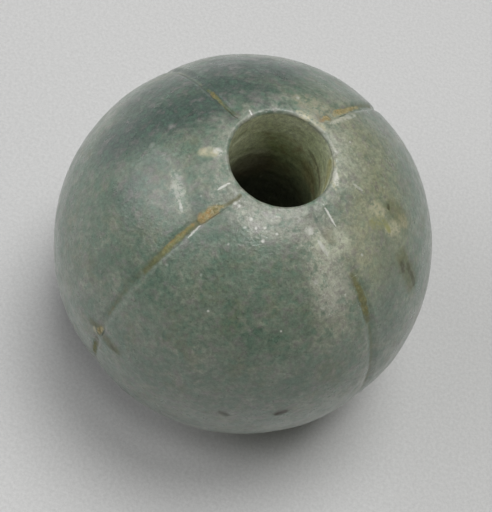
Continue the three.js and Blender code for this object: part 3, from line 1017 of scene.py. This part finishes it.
def stone_material(surface):
    """Weathered stone under an old waxy polish, which is gone from stains, faces and the bore."""
    paint = Paint("weathered_stone")
    near_mouth = paint.attribute("near_mouth")
    depth = paint.attribute("bore_depth")
    colour = weathered_colour(paint, surface, depth)
    stain = paint.step(depth, 0.0, 0.4)
    for kind in ("olive", "ochre", "dark"):
        stain = paint.math("MAXIMUM", stain, paint.attribute(kind))
    sheen = paint.step(paint.noise(0.9, 5.0, 0.6), 0.3, 0.7, 0.26, 0.46)
    roughness = paint.math("ADD", sheen, paint.step(near_mouth, 0.0, 1.0, 0.0, 0.05))
    roughness = paint.math("ADD", roughness, paint.times(stain, 0.3))
    worn = paint.math("MAXIMUM", stain, paint.times(near_mouth, 0.8))
    grain = paint.noise(4.5, 4.0, 0.65)
    waves = paint.bump(paint.noise(1.5, 4.0), 0.4, 0.1)
    paint.feed(paint.shader, {
        "Base Color": colour,
        "Roughness": roughness,
        "Coat Weight": paint.step(worn, 0.0, 1.0, 0.5, 0.0),
        "Specular IOR Level": paint.step(paint.attribute("face"), 0.0, 1.0, 0.5, 0.25),
        "Normal": paint.bump(grain, 0.7, 0.05, waves),
        "Coat Normal": paint.bump(grain, 0.35, 0.05),
        **STONE_FINISH,
    })
    return paint.material


def residue_material(name, light, dark, crumb, crumb_share, speck_share):
    """Dull earth, patchy and mottled, warmer in spots and cream where lightest, on the chip partly
    a painted glint, that thins out to stained stone.
    """
    paint = Paint(name)
    lumps = paint.swing(2.4, 5.0, 0.7)
    fine = paint.noise(4.5, 5.0, 0.75)
    tone = paint.math("ADD", paint.attribute("tone"), lumps)
    colour = paint.veil(dark, light, tone, 0.1, 0.9)
    crumbs = paint.times(paint.swing(3.3, 4.0, 0.75), 3.0)
    warm = paint.math("ADD", paint.attribute("warm"), crumbs)
    colour = paint.veil(colour, OCHRE, warm, 0.25, 0.95, 0.95)
    colour = paint.veil(colour, crumb, fine, 0.5, 0.64, crumb_share)
    colour = paint.veil(colour, OLIVE, fine, 0.5, 0.38, speck_share)
    # Cream where the crust is lightest: pale earth, and on the wedge's chip a painted glint
    colour = paint.veil(colour, CREAM, tone, 1.0, 1.6)
    cover = paint.math("ADD", paint.attribute("cover"), paint.times(lumps, 2.0))
    bare = stained(paint, paint.scaled(stone_colour(paint), grain_brightness(paint)))
    paint.feed(paint.shader, {
        "Base Color": paint.veil(bare, colour, cover, 0.05, 0.9),
        "Roughness": paint.step(cover, 0.0, 0.8, 0.4, 0.75),
        "Normal": paint.bump(fine, 0.5, 0.04),
    })
    return paint.material


# Residue in the grooves: its groove, first and last degrees from the upper bore axis, how deep it
# fills the groove, half width and sideways shift, how light it is, and its look
RESIDUE = {
    "front_left_patch": ("front_left", 21, 30.3, 0.08, 0.38, -0.08, 0.6, "ochre"),
    "front_left_streak": ("front_left", 30.2, 48.5, 0.05, 0.36, 0.0, 0.9, "olive"),
    # Light enough to turn cream, partly as a painted glint
    "front_left_chip": ("front_left", 76.5, 82.5, 0.07, 0.42, -0.12, 1.1, "ochre"),
    "front_left_end": ("front_left", 84.5, 97, 0.06, 0.34, 0.1, 0.5, "olive"),
    "back_left_band": ("back_left", 19.5, 36.3, 0.05, 0.24, 0.05, 0.3, "olive"),
    "back_right_inner": ("back_right", 19.2, 22.7, 0.1, 0.4, 0.0, 0.6, "ochre"),
    "back_right_outer": ("back_right", 23.1, 40, 0.035, 0.52, 0.2, 0.8, "ochre"),
    "front_right_fill": ("front_right", 39, 54, 0.09, 0.38, -0.05, 0.35, "olive"),
}
# Where the residue is warmer: pixel in the photograph and radius in millimetres
WARM_SPOTS = {
    "front_left_patch": ((207, 214), 1.0),
    "front_left_patch_end": ((198, 222), 0.5),
    "front_left_streak": ((184, 236), 0.2),
    "back_left_band": ((215, 94), 0.8),
    "back_right_inner": ((324, 118), 0.5),
    "back_right_outer": ((336, 111), 0.5),
    "front_right_fill": ((366, 308), 0.3),
}
WARMTH = 0.6
# Where a crust stands up in a lump: its middle and spread in degrees, and its rise
LUMPS = {
    "back_right_outer": (26.2, 2.2, 0.13),
    "back_right_inner": (20.9, 1.6, 0.04),
    "back_left_band": (28.6, 1.8, 0.05),
    "front_left_patch": (26.5, 3.0, 0.02),
}
NO_LUMP = (0, 1, 0)
RESIDUE_STEPS = 90
RESIDUE_COLUMNS = 22
CRUST_ROUGHNESS = 0.03
CRUST_NOISE = {"scale": 1.6, "octaves": 4, "offset": 5.5}
# How high a crust stands where it hides the stone, how far it dives under where it is thin, how
# blunt its ends are, and how it thins out to its sides and ends
THICK = 0.07
CRUST_SINK = 0.02
END_SHARE = 0.03
SIDE_FADE_POWER = 2.5
END_FADE_GAIN = 1.3


def slab_faces(rows, columns):
    """Faces of a closed slab: a grid of points for its underside, then one for its top."""
    under = np.arange(rows * columns).reshape(rows, columns)
    top = under + rows * columns
    faces = quads(top[:-1, :-1], top[1:, :-1], top[1:, 1:], top[:-1, 1:])
    faces += quads(under[:-1, :-1], under[:-1, 1:], under[1:, 1:], under[1:, :-1])
    faces += quads(under[:-1, 0], under[1:, 0], top[1:, 0], top[:-1, 0])
    faces += quads(under[:-1, -1], top[:-1, -1], top[1:, -1], under[1:, -1])
    faces += quads(under[0, :-1], top[0, :-1], top[0, 1:], under[0, 1:])
    faces += quads(under[-1, :-1], under[-1, 1:], top[-1, 1:], top[-1, :-1])
    return faces


def warmth(points, surface):
    """How warm the residue is at each point."""
    field = np.zeros(points.shape[:-1])
    for pixel, radius in WARM_SPOTS.values():
        away = np.linalg.norm(points - np.array(seen_at(surface, pixel)), axis=-1)
        field = np.maximum(field, WARMTH * (1 - smooth_step(away / radius)))
    return field


def stains_of_groove(groove_name, side_angle, across):
    distances = {name: np.full_like(across, BEAD_RADIUS) for name in GROOVES}
    distances[groove_name] = across
    return stain_fields(side_angle[:, 0], distances)


def make_residue(surface, name, groove_name, first, last, fill, half_width, shift, light):
    """A crust that fills its groove to an uneven level and dives under the stone at its edges."""
    cut = GROOVES[groove_name]
    share = np.linspace(0, 1, RESIDUE_STEPS + 1)[:, None] + np.zeros(RESIDUE_COLUMNS + 1)
    degrees = lerp(first, last, share)
    side_angle = np.radians(degrees)
    across = np.linspace(-half_width, half_width, RESIDUE_COLUMNS + 1) + shift + 0 * share
    azimuth = groove_azimuth(cut, side_angle) + across / (BEAD_RADIUS * np.sin(side_angle))
    floor = -groove_depth(cut, side_angle, across)
    lowest = -groove_depth(cut, side_angle, shift)
    true_form = side_point(side_angle, azimuth, floor)
    rough = CRUST_ROUGHNESS * noise_field(true_form, **CRUST_NOISE)
    taper = np.sqrt(np.sin(np.pi * lerp(END_SHARE, 1 - END_SHARE, share)))
    middle, spread, rise = LUMPS.get(name, NO_LUMP)
    filled = fill + rise * np.exp(-(((degrees - middle) / spread) ** 2))
    level = lowest + filled * taper + rough
    uneven = unevenness(true_form)
    top = np.maximum(level, floor - CRUST_SINK) + uneven
    under = floor - 2 * CRUST_SINK + uneven
    points = np.stack([side_point(side_angle, azimuth, lift) for lift in (under, top)])

    fields = stains_of_groove(groove_name, side_angle, across)
    to_sides = 1 - (np.abs(across - shift) / half_width) ** SIDE_FADE_POWER
    to_ends = np.clip(taper**2 * END_FADE_GAIN, 0.0, 1.0)
    fields["cover"] = np.clip((level - floor) / THICK, 0.0, 1.0) * to_sides * to_ends
    fields["near_mouth"] = np.exp(-((from_face(side_angle) / NEAR_MOUTH_WIDTH) ** 2))
    fields["tone"] = np.full_like(across, light)
    fields = {field: np.stack([values, values]) for field, values in fields.items()}
    fields["warm"] = warmth(points, surface)
    add_clouds(points, fields)
    faces = slab_faces(RESIDUE_STEPS + 1, RESIDUE_COLUMNS + 1)
    return mesh_object(f"crust_{name}", points, faces, fields)


# Floor and light

FLOOR_SIZE = 1800
FLOOR_GAP = 0.02
PAPER_PALE = linear(212, 212, 211)
PAPER_DARK = linear(197, 197, 196)


def make_floor():
    bpy.ops.mesh.primitive_plane_add(size=FLOOR_SIZE * MM, location=(0, 0, -FLOOR_GAP * MM))
    floor = bpy.context.object
    floor.name = "paper"
    paint = Paint("paper")
    fibres = paint.veil(PAPER_DARK, PAPER_PALE, paint.noise(3.5, 4.0, 0.8), 0.3, 0.7)
    paint.feed(paint.shader, {"Base Color": fibres, **PAPER_FINISH})
    floor.data.materials.append(paint.material)


# Lamps: azimuth and elevation in degrees, width in metres, power in watts and colour
NEUTRAL = (1, 1, 1)
COOL = (0.98, 0.97, 1)
WARM = (1, 0.97, 0.86)
LAMPS = {
    "ceiling": (90, 77, 0.25, 1.0, NEUTRAL),
    "ceiling_right": (62, 75, 0.25, 0.38, NEUTRAL),
    "left": (207, 43, 0.3, 0.28, COOL),
    "left_low": (182, 27, 0.3, 0.45, COOL),
    "right": (3, 15, 0.5, 0.3, WARM),
    "front_glint": (270, 78.4, 0.1, 0.27, NEUTRAL),
    "left_glint": (208, 46.5, 0.05, 0.03, NEUTRAL),
}
LAMP_DISTANCE = 450
SKY_COLOUR = linear(228, 230, 232)
SKY_STRENGTH = 0.036


def make_lights():
    aim = Vector(BEAD_CENTRE * MM)
    for name, (azimuth, elevation, size, power, tint) in LAMPS.items():
        data = bpy.data.lights.new(name, "AREA")
        data.shape = "DISK"
        data.size = size
        data.energy = power
        data.color = tint
        lamp = placed(name, data)
        turn, rise = math.radians(azimuth), math.radians(elevation)
        level = math.cos(rise)
        out = Vector((math.cos(turn) * level, math.sin(turn) * level, math.sin(rise)))
        lamp.location = aim + out * (LAMP_DISTANCE * MM)
        lamp.rotation_euler = out.to_track_quat("Z", "Y").to_euler()
    world = bpy.data.worlds.new("sky")
    world.use_nodes = True
    background = world.node_tree.nodes["Background"]
    background.inputs["Color"].default_value = SKY_COLOUR
    background.inputs["Strength"].default_value = SKY_STRENGTH
    bpy.context.scene.world = world


def dress(piece, node, material):
    piece.data.materials.append(material)
    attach(piece, "root")
    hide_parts(node)


make_camera()
make_floor()
make_lights()

bead, bead_surface = make_bead()
dress(bead, "bead_body", stone_material(bead_surface))
crust_materials = {
    look: residue_material(f"{look}_crust", *settings) for look, settings in CRUST_LOOKS.items()
}
for name, (*form, look) in RESIDUE.items():
    crust = make_residue(bead_surface, name, *form)
    dress(crust, f"residue_{name}", crust_materials[look])

bpy.context.scene.view_settings.view_transform = "Standard"
